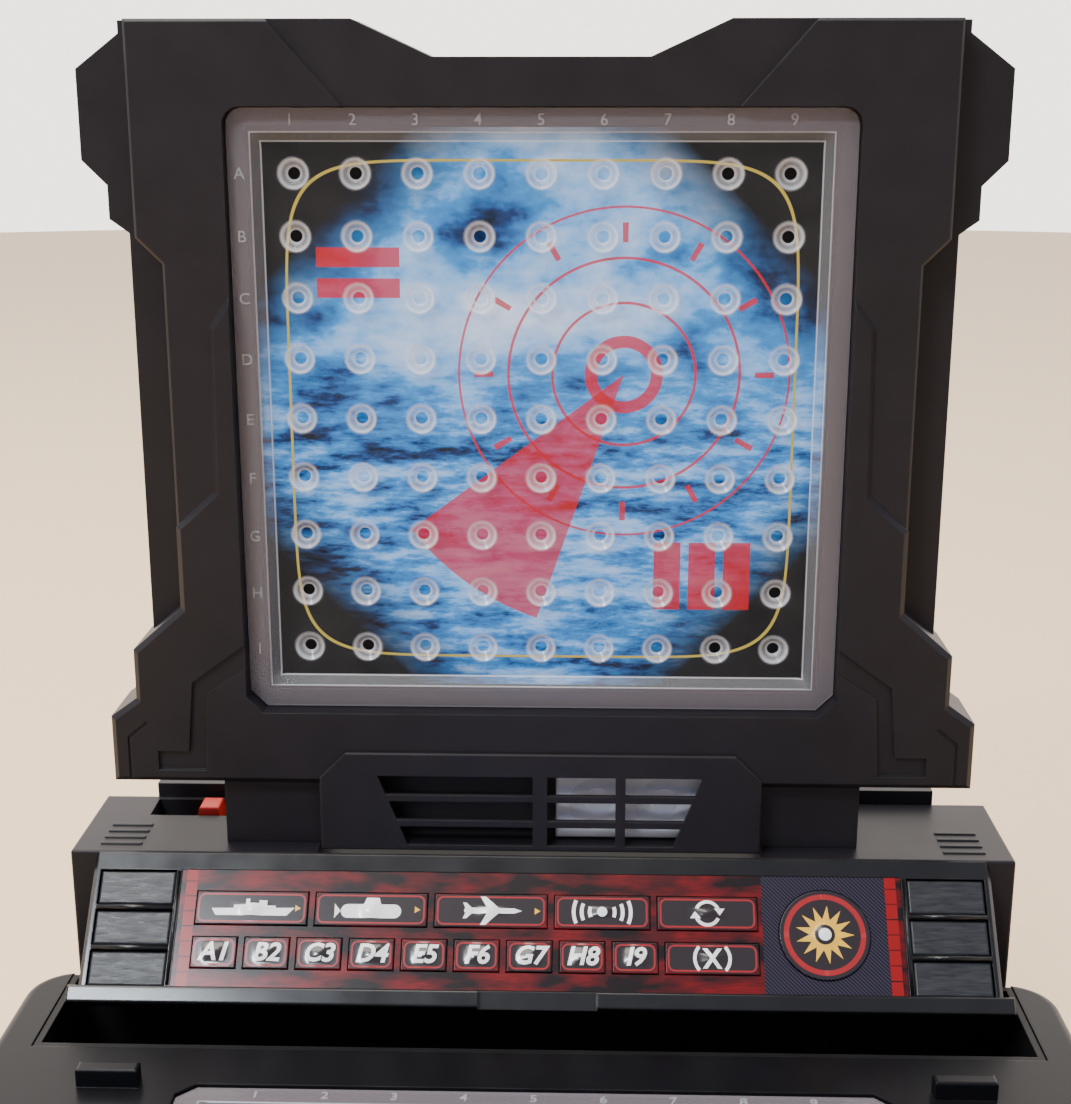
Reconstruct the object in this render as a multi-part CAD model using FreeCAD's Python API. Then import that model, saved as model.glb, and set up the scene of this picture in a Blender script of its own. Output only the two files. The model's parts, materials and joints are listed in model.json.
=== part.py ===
import FreeCAD, Part
import math
import os

Vec = FreeCAD.Vector
x_axis = Vec(1, 0, 0)
y_axis = Vec(0, 1, 0)
z_axis = Vec(0, 0, 1)

# Sizes in millimetres: x to the player's right, y away from the player, z up from the table.
# The origin is on the table under the middle of the case.

# Walls and fits
wall = 2.5
slip = 0.3
pin_play = 0.05
edge_break = 0.8
near = 1e-4

# Clear peg grids
grid_count = 9
target_pitch = 17.5
ocean_pitch = 19.0
target_margin = 9.25
ocean_margin = 12.0
peg_hole_r = 1.75
funnel_r = 4.4
funnel_depth = 1.8
flange_width = 6.5
flange_thickness = 2.0
cover_step = 3.0
cover_draft = 2.6
plate_thickness = 3.0
tub_wall = 1.5
cover_corner = 5.0
card_thickness = 0.6
card_play = 0.15
step_round = 3.5
card_hole_r = 2.0

# Upright screen, measured from the edge of its clear grid
header_height = 23.5
footer_height = 23.0
stile_width = 19.0
crown_overhang = 7.4
shell_overhang = 11.5
notch_depth = 10.0
notch_flat_half = 30.0
notch_half = 52.0
waist_drop = 59.0
cover_setback = 4.0
frame_depth = 11.0
shell_depth = 12.0
cradle_rise = 2.0
cradle_bevel = 1.6
panel_line_depth = 1.2
rib_thickness = 2.0
rib_end_gap = 17.6
screw_offset = 7.0
# reach past the shell's side, drop below the top edge
ear_profile = [(0, 3.5), (12.6, 13), (12.6, 38), (5.6, 45), (5.6, 54.5), (0, 58.5)]
# reach past the frame's straight side, rise above the bottom edge
foot_profile = [(0, 55), (15, 41.9), (15, 26.5), (23, 20.7), (23, 0)]
foot_line = [(12, 19.6), (18, 14.6), (18, 0), (17.2, 0), (17.2, 14.2), (11.5, 19)]
foot_line_depth = 0.5
# reach past the grid's edge, height from the grid's centre
cradle_profile = [(-2, 39.5), (6.5, 27.5), (7.5, -20.5)]
cradle_shoulder = 31.0
# reach past the grid's edge, height below the grid's centre
foot_channel = [(-4, 64), (16.5, 79), (18.5, 101), (28, 101), (28, 107), (13.5, 107), (12, 82), (-4, 72)]
crown_top_half = 77.5
crown_bottom_half = 54.5

# Hinge of the screen
hinge_rise = 13.5
screen_setback = 4.5
hinge_setback = 8.15
post_front = 4.3
post_rise = 7.0
post_depth = 17.0
post_round = 1.2
post_gap = 1.5
post_width = 29.7
knuckle_half = 67.2
knuckle_depth = 15.0
knuckle_lift = 1.0
pin_r = 2.5
pin_bite = 24.0
pin_reach = 12.0

# Speaker grille in the knuckle
grille_thickness = 1.5
grille_crown = 10.6
grille_corner = 8.0
vent_rows = 3
vent_height = 6.0
vent_pitch = 8.2
vent_top_half = 49.3
vent_taper = 3.2
mullion = 4.4
vent_split = 22.9
vent_bar = 3.0
vent_foot = 1.9
speaker_length = 46.0
speaker_gap = 1.1
speaker_depth = 7.5
cone_dish = 2.5
cone_places = (0.28, 0.72)

# Console behind the controls
console_depth = 43.0
console_top_z = 86.5
console_cheek = 8.0
channel_depth = 5.0
channel_run = 24.5
rear_cover_thickness = 5.0
rear_cover_half = 127.5
rear_cover_rise = 4.5
cover_lap = 3.0
pocket_inset = 18.0
pocket_width = 28.0
pocket_length = 13.0
pocket_depth = 6.0
lever_width = 9.0
lever_rise = 1.8
lever_taper = 1.4
lever_travel = 6.0
lever_park = 14.0
stem_width = 4.0
switch_height = 10.0

# Sloped control panel: lean from upright, and v measured down its slope
panel_lean = 42.0
bezel_wall = 2.4
bezel_chamfer = 1.2
label_top = 5.5
label_margin = 7.7
label_thickness = 1.0
keypad_shift = 2.4
header_margin = 6.6
icon_key_height = 10.2
row_gap = 3.7
key_height = 9.4
footer_margin = 5.4
lip_gap = 0.4
lip_height = 5.2
lip_rise = 2.5
lip_overhang = 2.5
lip_notch = 35.0
pad_gap = 2.0
pad_width = 23.0
pad_rows = 3
pad_lead = 0.4
pad_height = 10.4
pad_pitch = 12.3
pad_sink = 0.5
pad_back = 1.2
bezel_border = 2.6

# Keys: they stand proud, travel inwards and are kept by a flange behind the bezel
key_width = 13.5
key_gap = 2.2
icon_key_width = 33.9
sonar_width = 28.6
repeat_width = 29.9
cancel_width = 27.8
fire_r = 13.55
fire_gap = 6.15
key_proud = 0.5
key_fit = 0.25
key_flange = 0.7
flange_gap = 0.2
key_flange_thickness = 1.2
key_travel = 0.7
key_spare = 0.1
key_round = 0.4
dome_height = 1.4
dome_r = 2.6
board_thickness = 1.6
board_boss_r = 2.4

# Base
deck_z = 48.0
part_line_z = 20.0
foot_height = 2.5
foot_r = 9.0
foot_inset = 27.0
rim_width = 11.5
front_margin = 17.6
ledge_depth = 18.2
trough_gap = 16.5
front_round = 18.0
rear_round = 14.0
rim_round = 3.0
deck_setback = 1.0
arm_shortfall = 3.5
trough_wall = 2.0
tab_width = 17.0
tab_length = 4.5
tab_height = 5.5
tab_x = 117.0
tab_lead = 2.4

# Battery bay in the rear cover: four AA cells, two by two
cell_r = 7.25
cell_length = 50.5
cell_gap = 0.7
bay_wall = 1.6
bay_floor_z = 30.0
contact_length = 3.0
contact_r = 4.0
door_thickness = 2.4
door_lap = 2.2
door_barrel_r = 2.0
door_pin_r = 1.2
door_pin_length = 3.0
door_pin_shift = 0.4
door_catch_width = 14.0

# Main circuit board and screws
main_board_length = 120.0
main_board_width = 32.0
main_board_left = -104.0
main_board_z = 12.0
board_edge = 5.0
standoff_r = 3.0
chip_size = 16.0
chip_height = 2.2
chip_places = (0.3, 0.6)
screw_r = 1.4
screw_head_r = 3.0
screw_head_height = 2.0
screw_sink = 2.5
boss_r = 4.5
screw_bite = 7.0
drive_r = 1.1
boss_lap = 1.0

# Places worked out along the depth, from the front edge to the rear cover
target_half = grid_count * target_pitch / 2 + target_margin
ocean_half = grid_count * ocean_pitch / 2 + ocean_margin
letter_row = grid_count * (key_width + key_gap) + cancel_width
icon_row = 3 * (icon_key_width + key_gap) + sonar_width + key_gap + repeat_width
rows_width = max(letter_row, icon_row)
keypad_width = rows_width + fire_gap + 2 * fire_r
key_rows_height = header_margin + icon_key_height + row_gap + key_height + footer_margin
label_height = max(key_rows_height, 2 * (fire_r + header_margin / 2))
label_half = keypad_width / 2 + label_margin
panel_length = label_top + label_height + lip_gap + lip_height
bezel_half = label_half + pad_gap + pad_width + bezel_border
console_half = bezel_half + console_cheek
base_half = console_half + rim_width
lean = math.radians(panel_lean)
panel_run = panel_length * math.sin(lean)
panel_drop = panel_length * math.cos(lean)
base_length = (front_margin + 2 * ocean_half + ledge_depth + trough_gap + panel_run
               + console_depth + rear_cover_thickness)
front_y = -base_length / 2
ocean_centre_y = front_y + front_margin + ocean_half
trough_front_y = ocean_centre_y + ocean_half + ledge_depth
lip_y = trough_front_y + trough_gap
console_front_y = lip_y + panel_run
console_back_y = console_front_y + console_depth
arm_end_y = console_front_y - arm_shortfall
lip_z = console_top_z - panel_drop
tray_floor_z = foot_height + wall
pocket_left = -console_half + pocket_inset
ocean_face_z = deck_z - deck_setback

# Places on the screen
hinge_z = console_top_z + hinge_rise
screen_face_y = console_front_y + screen_setback
hinge_y = screen_face_y + hinge_setback
cradle_face_y = screen_face_y - cradle_rise
cover_face_y = screen_face_y + cover_setback
part_y = screen_face_y + frame_depth
screen_back_y = part_y + shell_depth
screen_bottom_z = hinge_z + post_rise + post_gap
screen_centre_z = screen_bottom_z + footer_height + target_half
screen_top_z = screen_centre_z + target_half + header_height
frame_half = target_half + stile_width
shell_half = frame_half + shell_overhang
knuckle_bottom_z = console_top_z + knuckle_lift
plate_half = target_half - flange_width - cover_draft
# the knuckle is hollow behind the windows, and the speaker stands clear of the hollow's side and of the pin's end
hollow_half = vent_top_half + wall
pin_inner = knuckle_half - pin_reach
speaker_left = min(hollow_half, pin_inner) - speaker_gap - speaker_length

# Places on the control panel
keys_left = -keypad_width / 2 - keypad_shift
icon_v = label_top + header_margin + icon_key_height / 2
letter_v = icon_v + icon_key_height / 2 + row_gap + key_height / 2
fire_v = label_top + label_height / 2
fire_x = keys_left + rows_width + fire_gap + fire_r
flange_w = -bezel_wall - flange_gap
board_w = flange_w - key_flange_thickness - key_travel - key_spare - dome_height

on_screen = FreeCAD.Placement(Vec(0, cover_face_y, screen_centre_z), FreeCAD.Rotation(x_axis, 90))
on_deck = FreeCAD.Placement(Vec(0, ocean_centre_y, ocean_face_z), FreeCAD.Rotation())
on_panel = FreeCAD.Placement(Vec(0, console_front_y, console_top_z),
                             FreeCAD.Rotation(x_axis, 90 - panel_lean))


def block(x0, x1, y0, y1, z0, z1):
    return Part.makeBox(x1 - x0, y1 - y0, z1 - z0, Vec(x0, y0, z0))


def slab(half, y0, y1, z0, z1):
    return block(-half, half, y0, y1, z0, z1)


def rod(x, y, z, axis, radius, length):
    return Part.makeCylinder(radius, length, Vec(x, y, z), axis)


def placed(shape, placement):
    moved = shape.copy()
    moved.Placement = placement.multiply(moved.Placement)
    return moved


# A box on the control panel, v down the slope and w out of its face
def panel_block(x0, x1, v0, v1, w0, w1):
    return placed(block(x0, x1, -v1, -v0, w0, w1), on_panel)


def panel_rod(x, v, w, radius, length):
    return placed(rod(x, -v, w, z_axis, radius, length), on_panel)


def closed_face(corners):
    return Part.Face(Part.makePolygon(corners + corners[:1]))


def both_sides(points):
    return points + [(-x, z) for x, z in reversed(points) if x > 0]


# A plate upright in y, from x and z corners, drawn in by an inset
def upright_plate(points, y0, y1, inset=0.0):
    face = closed_face([Vec(x, y0, z) for x, z in points])
    if inset > 0:
        face = face.makeOffset2D(-inset)
    return face.extrude(Vec(0, y1 - y0, 0))


def edges_at(shape, axis, value):
    on_plane = []
    for edge in shape.Edges:
        if all(abs(getattr(vertex.Point, axis) - value) < near for vertex in edge.Vertexes):
            on_plane.append(edge)
    return on_plane


def upright_edges(shape, y):
    found = []
    for edge in shape.Edges:
        ends = [vertex.Point for vertex in edge.Vertexes]
        if len(ends) == 2 and abs(ends[0].z - ends[1].z) > near:
            if all(abs(end.y - y) < near for end in ends):
                found.append(edge)
    return found


def bevelled(shape, axis, value, size):
    return shape.makeChamfer(size, edges_at(shape, axis, value))


def rounded(shape, axis, value, size):
    return shape.makeFillet(size, edges_at(shape, axis, value))


# Plan of the wide part of the base, with round corners, drawn in by an inset
def base_plan(inset, z0, z1):
    plan = slab(base_half - inset, front_y + inset, arm_end_y - inset, z0, z1)
    plan = plan.makeFillet(front_round - inset, upright_edges(plan, front_y + inset))
    return plan.makeFillet(rear_round - inset, upright_edges(plan, arm_end_y - inset))


# Outline of a clear grid: two round corners, and two cut ones on the hinge side
def cover_blank(half, z0, z1, hinge_side):
    blank = slab(half, -half, half, z0, z1)
    blank = blank.makeChamfer(cover_corner, upright_edges(blank, hinge_side * half))
    return blank.makeFillet(cover_corner, upright_edges(blank, -hinge_side * half))


def square_wire(half, z):
    corners = [Vec(-half, -half, z), Vec(half, -half, z), Vec(half, half, z), Vec(-half, half, z)]
    return Part.makePolygon(corners + corners[:1])


def hole_places(pitch):
    span = [(i - (grid_count - 1) / 2) * pitch for i in range(grid_count)]
    return [Vec(x, y, 0) for y in span for x in span]


def tub_half(half):
    return half - flange_width + tub_wall


def slanted_edges(shape):
    ends = [(edge, edge.Vertexes[0].Point, edge.Vertexes[1].Point) for edge in shape.Edges]
    return [edge for edge, start, end in ends if abs(start.z - end.z) > near]


# Clear tray: a flange, a drafted step down, and a plate of funnelled peg holes
def clear_grid(half, pitch, hinge_side):
    mouth = half - flange_width
    depth = cover_step + plate_thickness
    outer = tub_half(half)
    grid = cover_blank(half, -flange_thickness, 0, hinge_side)
    grid = grid.fuse(slab(outer, -outer, outer, -depth, 0))
    floor_wire = square_wire(mouth - cover_draft, -cover_step)
    hollow = Part.makeLoft([square_wire(mouth, 0), floor_wire], True)
    grid = grid.cut(hollow.makeFillet(step_round, slanted_edges(hollow)))
    funnel = Part.makeCone(peg_hole_r, funnel_r, funnel_depth, Vec(0, 0, -cover_step - funnel_depth))
    peg_hole = funnel.fuse(rod(0, 0, -depth - wall, z_axis, peg_hole_r, plate_thickness + wall))
    return grid.cut([peg_hole.translated(place) for place in hole_places(pitch)])


# Printed card behind a grid, pierced for the pegs
def backing_card(half, pitch):
    edge = tub_half(half) - slip
    top = -cover_step - plate_thickness - card_play
    card = slab(edge, -edge, edge, top - card_thickness, top)
    hole = rod(0, 0, top - card_thickness - wall, z_axis, card_hole_r, 2 * wall + card_thickness)
    return card.cut([hole.translated(place) for place in hole_places(pitch)])


# Seat for a clear grid: a ledge with a wall round it, and what is cut out of it
def grid_seat(half, depth):
    outer = half + slip + wall
    return slab(outer, -outer, outer, -flange_thickness - wall, depth)


def seat_cuts(half, depth, hinge_side):
    recess = cover_blank(half + slip, -flange_thickness, depth + cradle_rise + wall, hinge_side)
    gap = tub_half(half) + slip
    return [recess, slab(gap, -gap, gap, -flange_thickness - 2 * wall, 0)]


def crown_points(side_half):
    valley_z = screen_top_z - notch_depth
    return [(0, valley_z), (notch_flat_half, valley_z), (notch_half, screen_top_z),
            (side_half, screen_top_z)]


def foot_points(start):
    return [(frame_half + reach, screen_bottom_z + rise) for reach, rise in foot_profile[start:]]


def frame_outline():
    crown_half = frame_half + crown_overhang
    waist_z = screen_top_z - waist_drop
    points = crown_points(crown_half)
    points += [(crown_half, waist_z), (frame_half, waist_z - crown_overhang)]
    return both_sides(points + foot_points(0) + [(0, screen_bottom_z)])


def shell_outline():
    points = crown_points(shell_half)
    points += [(shell_half + reach, screen_top_z - drop) for reach, drop in ear_profile]
    (reach0, rise0), (reach1, rise1) = foot_profile[:2]
    share = (shell_overhang - reach0) / (reach1 - reach0)
    points += [(shell_half, screen_bottom_z + rise0 + share * (rise1 - rise0))]
    return both_sides(points + foot_points(1) + [(0, screen_bottom_z)])


# The raised lower half of the frame that cradles the grid
def cradle_outline():
    points = [(0, screen_centre_z + cradle_profile[0][1])]
    points += [(target_half + reach, screen_centre_z + height) for reach, height in cradle_profile]
    points += [(frame_half, screen_centre_z - cradle_shoulder)]
    return both_sides(points + foot_points(0) + [(0, screen_bottom_z)])


def screw_places():
    x = (target_half + slip + wall + frame_half - wall) / 2
    rows = [-target_half - screw_offset, 0, target_half + screw_offset]
    return [(side * x, screen_centre_z + row) for side in (-1, 1) for row in rows]


def vent_top_z():
    return knuckle_bottom_z + vent_foot + (vent_rows - 1) * vent_pitch + vent_height


def knuckle_hollow():
    back_y = cradle_face_y + knuckle_depth - wall
    return slab(hollow_half, cradle_face_y - wall, back_y, knuckle_bottom_z + vent_foot - slip,
                vent_top_z() + slip)


def screen_front_frame():
    body = bevelled(upright_plate(frame_outline(), screen_face_y, part_y), "y", screen_face_y, edge_break)
    body = body.cut(upright_plate(frame_outline(), screen_face_y + wall, part_y + wall, wall))
    cradle = upright_plate(cradle_outline(), cradle_face_y, screen_face_y + wall)
    body = body.fuse(bevelled(cradle, "y", cradle_face_y, cradle_bevel))
    body = body.fuse(placed(grid_seat(target_half, cover_setback), on_screen))
    body = body.fuse(slab(knuckle_half, cradle_face_y, cradle_face_y + knuckle_depth,
                          knuckle_bottom_z, screen_bottom_z))
    for x, z in screw_places():
        boss = rod(x, screen_face_y + wall / 2, z, y_axis, boss_r, frame_depth - wall / 2)
        body = body.fuse(boss).cut(rod(x, part_y - screw_bite, z, y_axis, screw_r + pin_play, screw_bite))
    cuts = [placed(tool, on_screen) for tool in seat_cuts(target_half, cover_setback, -1)]
    cuts.append(knuckle_hollow())
    cuts += channel_cuts() + [crown_cut()]
    bore = rod(-knuckle_half - wall, hinge_y, hinge_z, x_axis, pin_r + pin_play, 2 * (knuckle_half + wall))
    return body.cut(cuts).cut(bore).removeSplitter()


# The shallow lines on the face: a dropped centre above the grid, a channel and a thin line in each foot
def crown_cut():
    low_z = screen_centre_z + target_half
    points = both_sides([(crown_bottom_half, low_z), (crown_top_half, screen_top_z + wall)])
    return upright_plate(points, screen_face_y - wall, screen_face_y + panel_line_depth)


def channel_cuts():
    cuts = []
    for side in (-1, 1):
        points = [(side * (target_half + reach), screen_centre_z - drop) for reach, drop in foot_channel]
        cuts.append(upright_plate(points, cradle_face_y - wall, cradle_face_y + panel_line_depth))
        line = [(side * (frame_half + reach), screen_bottom_z + rise) for reach, rise in foot_line]
        cuts.append(upright_plate(line, cradle_face_y - wall, cradle_face_y + foot_line_depth))
    return cuts


def screen_back_shell():
    body = bevelled(upright_plate(shell_outline(), part_y, screen_back_y), "y", screen_back_y, edge_break)
    body = body.cut(upright_plate(shell_outline(), part_y + wall, screen_back_y - wall, wall))
    body = body.cut(upright_plate(frame_outline(), part_y - wall, part_y + 2 * wall, wall))
    card_back_y = cover_face_y + cover_step + plate_thickness + card_play + card_thickness
    rib_reach = target_half - rib_end_gap
    for side in (-1, 1):
        x = side * (plate_half - rib_thickness)
        rib = block(x - rib_thickness / 2, x + rib_thickness / 2, card_back_y, screen_back_y - wall / 2,
                    screen_centre_z - rib_reach, screen_centre_z + rib_reach)
        body = body.fuse(rib)
    for x, z in screw_places():
        body = body.fuse(rod(x, part_y, z, y_axis, boss_r, shell_depth))
        sink = screw_sink + screw_head_height
        body = body.cut(rod(x, screen_back_y - sink, z, y_axis, screw_head_r + slip, sink))
        body = body.cut(rod(x, part_y - wall, z, y_axis, screw_r + slip, shell_depth + wall))
    return body.removeSplitter()


def screw(head_x, head_y, head_z, axis, length):
    shaft = rod(head_x, head_y, head_z, axis, screw_r, length)
    head = Vec(head_x, head_y, head_z) - axis * screw_head_height
    body = shaft.fuse(rod(head.x, head.y, head.z, axis, screw_head_r, screw_head_height))
    slot = rod(head.x, head.y, head.z, axis, drive_r, screw_head_height / 2)
    return body.cut(slot)


def screen_screws():
    seat_y = screen_back_y - screw_sink - screw_head_height
    length = seat_y - part_y + screw_bite - slip
    return Part.makeCompound([screw(x, seat_y, z, -y_axis, length) for x, z in screw_places()])


# Grille plate over the front of the knuckle: one long window row to the left, two shorter to the right
def speaker_grille():
    top_z = screen_bottom_z + grille_crown
    half = knuckle_half - slip
    points = both_sides([(half - grille_corner, top_z), (half, top_z - grille_corner),
                         (half, knuckle_bottom_z)])
    face_y = cradle_face_y - grille_thickness
    plate = bevelled(upright_plate(points, face_y, cradle_face_y), "y", face_y, edge_break / 2)
    for row in range(vent_rows):
        low = knuckle_bottom_z + vent_foot + (vent_rows - 1 - row) * vent_pitch
        high = low + vent_height
        upper = vent_top_half - row * vent_taper
        lower = upper - vent_taper * vent_height / vent_pitch
        left = [(-mullion / 2, low), (-lower, low), (-upper, high), (-mullion / 2, high)]
        inner = [(mullion / 2, low), (vent_split, low), (vent_split, high), (mullion / 2, high)]
        bar_end = vent_split + vent_bar
        right = [(bar_end, low), (lower, low), (upper, high), (bar_end, high)]
        for window in (left, inner, right):
            plate = plate.cut(upright_plate(window, face_y - wall, cradle_face_y + wall))
    return plate


# Small oblong loudspeaker on the knuckle's back wall, behind the right-hand windows
def speaker():
    back_y = cradle_face_y + knuckle_depth - wall
    low = knuckle_bottom_z + vent_foot
    high = vent_top_z()
    right = speaker_left + speaker_length
    body = block(speaker_left, right, back_y - speaker_depth, back_y, low, high)
    body = body.makeFillet(edge_break, edges_at(body, "y", back_y - speaker_depth))
    radius = (high - low) / 2 - wall
    middle = (low + high) / 2
    for share in cone_places:
        x = speaker_left + share * speaker_length
        dish = Part.makeCone(radius, radius / 2, cone_dish, Vec(x, back_y - speaker_depth, middle), y_axis)
        body = body.cut(dish)
    return body


# A hinge post is a block on the console, its front close to the hinge line so that the screen clears it
def hinge_post(side):
    x = side * (knuckle_half + 2 * slip)
    far = x + side * post_width
    left = min(x, far)
    front = hinge_y - post_front
    top = hinge_z + post_rise
    post = block(left, left + post_width, front, front + post_depth, console_top_z, top)
    top_edges = edges_at(post, "z", top)
    post = post.makeFillet(post_round, [edge for edge in top_edges if edge.BoundBox.YMax < front + near])
    bore = rod(left, hinge_y, hinge_z, x_axis, pin_r + pin_play / 2, pin_bite)
    if side < 0:
        bore.translate(Vec(post_width - pin_bite, 0, 0))
    return post.cut(bore).removeSplitter()


def hinge_pin(side):
    outer = knuckle_half + 2 * slip + pin_bite - slip
    start = pin_inner if side > 0 else -outer
    pin = rod(start, hinge_y, hinge_z, x_axis, pin_r, outer - pin_inner)
    ends = edges_at(pin, "x", start) + edges_at(pin, "x", start + outer - pin_inner)
    return pin.makeChamfer(edge_break / 2, ends)


def base_tray():
    body = base_plan(0, foot_height, part_line_z)
    body = body.fuse(slab(console_half, ocean_centre_y, console_back_y, foot_height, part_line_z))
    hollow = base_plan(wall, tray_floor_z, part_line_z + wall)
    hollow = hollow.fuse(slab(console_half - wall, ocean_centre_y, console_back_y - wall, tray_floor_z,
                              part_line_z + wall))
    body = body.cut(hollow)
    for x, y in base_screw_places():
        body = body.fuse(rod(x, y, foot_height, z_axis, boss_r, part_line_z - foot_height))
        body = body.cut(rod(x, y, foot_height, z_axis, screw_head_r + slip, screw_sink + screw_head_height))
        body = body.cut(rod(x, y, foot_height, z_axis, screw_r + slip, part_line_z))
    standoff_z = tray_floor_z - wall / 2
    for x, y in main_board_screw_places():
        body = body.fuse(rod(x, y, standoff_z, z_axis, standoff_r, main_board_z - standoff_z))
        body = body.cut(rod(x, y, tray_floor_z, z_axis, screw_r + pin_play, main_board_z))
    return body.removeSplitter()


def base_screw_places():
    side = base_half - wall - boss_r - slip
    rear = console_half - wall - boss_r + boss_lap
    front = front_y + front_round
    rows = [(side, front), (side, ocean_centre_y + ocean_half), (rear, console_back_y - front_margin)]
    return [(sign * x, y) for x, y in rows for sign in (-1, 1)]


def base_screws():
    seat_z = foot_height + screw_sink + screw_head_height
    length = part_line_z - seat_z + screw_bite - slip
    return Part.makeCompound([screw(x, y, seat_z, z_axis, length) for x, y in base_screw_places()])


def deck_boss(x, y, top):
    boss = rod(x, y, part_line_z, z_axis, boss_r, top - part_line_z)
    return boss, rod(x, y, part_line_z, z_axis, screw_r + pin_play, screw_bite)


# Deck: a rim all round, the seat of the ocean grid and the mouth of the peg trough, open to the rear
def base_deck():
    body = base_plan(0, part_line_z, deck_z)
    body = rounded(body, "z", deck_z, rim_round)
    hollow = base_plan(wall, part_line_z - wall, deck_z - wall)
    hollow = hollow.cut(slab(console_half + wall, trough_front_y - wall, console_back_y,
                             part_line_z - wall, deck_z))
    body = body.cut(hollow)
    body = body.fuse(placed(grid_seat(ocean_half, deck_setback), on_deck))
    for x, y in base_screw_places()[:4]:
        boss, pilot = deck_boss(x, y, deck_z - wall / 2)
        body = body.fuse(boss).cut(pilot)
    for side in (-1, 1):
        tab_y = ocean_centre_y + ocean_half - tab_lead
        tab = block(side * tab_x - tab_width / 2, side * tab_x + tab_width / 2, tab_y, tab_y + tab_length,
                    deck_z - wall / 2, deck_z + tab_height)
        body = body.fuse(tab.makeFillet(edge_break, edges_at(tab, "z", deck_z + tab_height)))
    cuts = [placed(tool, on_deck) for tool in seat_cuts(ocean_half, deck_setback, 1)]
    cuts.append(slab(console_half, trough_front_y, console_back_y, part_line_z - wall, deck_z + wall))
    return body.cut(cuts).removeSplitter()


# Open tub for loose pegs, standing on the tray's floor under the control panel
def peg_trough():
    half = console_half - slip
    front = trough_front_y + slip
    back = arm_end_y - wall - slip
    top = min(lip_z, deck_z) - slip
    tub = slab(half, front, back, tray_floor_z, top)
    floor_z = tray_floor_z + trough_wall
    return tub.cut(slab(half - trough_wall, front + trough_wall, back - trough_wall, floor_z, top + wall))


def console_housing():
    inside = console_half - wall
    body = slab(console_half, console_front_y, console_back_y, part_line_z, console_top_z)
    outer_edges = edges_at(body, "z", console_top_z) + upright_edges(body, console_front_y)
    body = body.makeFillet(edge_break, outer_edges)
    body = body.cut(slab(inside, console_front_y + wall, console_back_y - wall, part_line_z - wall,
                         console_top_z - wall))
    back_half = rear_cover_half - cover_lap
    body = body.cut(slab(back_half, console_back_y - 2 * wall, console_back_y + wall, part_line_z - wall,
                         console_top_z - wall))
    body = body.cut(slab(bezel_half - 2 * bezel_wall, console_front_y - wall, console_front_y + 2 * wall,
                         lip_z + 2 * bezel_wall, console_top_z - panel_line_depth - 2 * wall))
    channel_half = knuckle_half + slip + edge_break
    channel_end = console_front_y + channel_run
    body = body.fuse(slab(channel_half + wall, console_front_y + wall / 2, channel_end + wall,
                          console_top_z - channel_depth - wall, console_top_z - wall / 2))
    body = body.cut(slab(channel_half, console_front_y + 2 * slip, channel_end,
                         console_top_z - channel_depth, console_top_z + wall))
    body = add_lever_pocket(body)
    for x, y in base_screw_places()[4:]:
        boss, pilot = deck_boss(x, y, console_top_z - wall / 2)
        body = body.fuse(boss).cut(pilot)
    return body.removeSplitter()


def pocket_back_y():
    return console_back_y - wall


def lever_place():
    return pocket_left + lever_park + lever_width / 2, pocket_back_y() - pocket_length / 2


# Pocket in the left shoulder, with a slot in its floor for the lever's stem
def add_lever_pocket(body):
    floor_z = console_top_z - pocket_depth
    right = pocket_left + pocket_width
    back = pocket_back_y()
    body = body.fuse(block(pocket_left - wall, right + wall, back - pocket_length - wall, back + wall,
                           floor_z - wall, console_top_z - wall / 2))
    body = body.cut(block(pocket_left, right, back - pocket_length, back, floor_z, console_top_z + wall))
    x, y = lever_place()
    half = stem_width / 2 + slip
    slot = block(x - half - lever_travel, x + half, y - half, y + half, floor_z - 2 * wall, floor_z + wall)
    return body.cut(slot)


# Red slide with a tapered grip and a stem down into the switch
def power_lever():
    x, y = lever_place()
    floor_z = console_top_z - pocket_depth
    foot_z = floor_z + slip
    grip_top = console_top_z + lever_rise
    half = lever_width / 2
    run = pocket_length / 2 - 3 * slip

    def ring(inset, z):
        corners = [Vec(x - half + inset, y - run + inset, z), Vec(x + half - inset, y - run + inset, z),
                   Vec(x + half - inset, y + run - inset, z), Vec(x - half + inset, y + run - inset, z)]
        return Part.makePolygon(corners + corners[:1])

    grip = Part.makeLoft([ring(0, foot_z), ring(lever_taper, grip_top)], True)
    grip = grip.makeFillet(edge_break, edges_at(grip, "z", grip_top))
    stem_half = stem_width / 2
    stem = block(x - stem_half, x + stem_half, y - stem_half, y + stem_half,
                 floor_z - wall - switch_height / 3, foot_z + wall / 2)
    return grip.fuse(stem)


def power_switch_body():
    x, y = lever_place()
    top = console_top_z - pocket_depth - wall
    reach = lever_travel + stem_width + wall
    half = pocket_length / 2 - 2 * slip
    body = block(x - reach, x + reach - lever_travel, y - half, y + half, top - switch_height, top)
    slot_half = stem_width / 2 + slip
    slot = block(x - slot_half - lever_travel, x + slot_half, y - slot_half, y + slot_half,
                 top - switch_height / 2, top + wall)
    return body.cut(slot)


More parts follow.
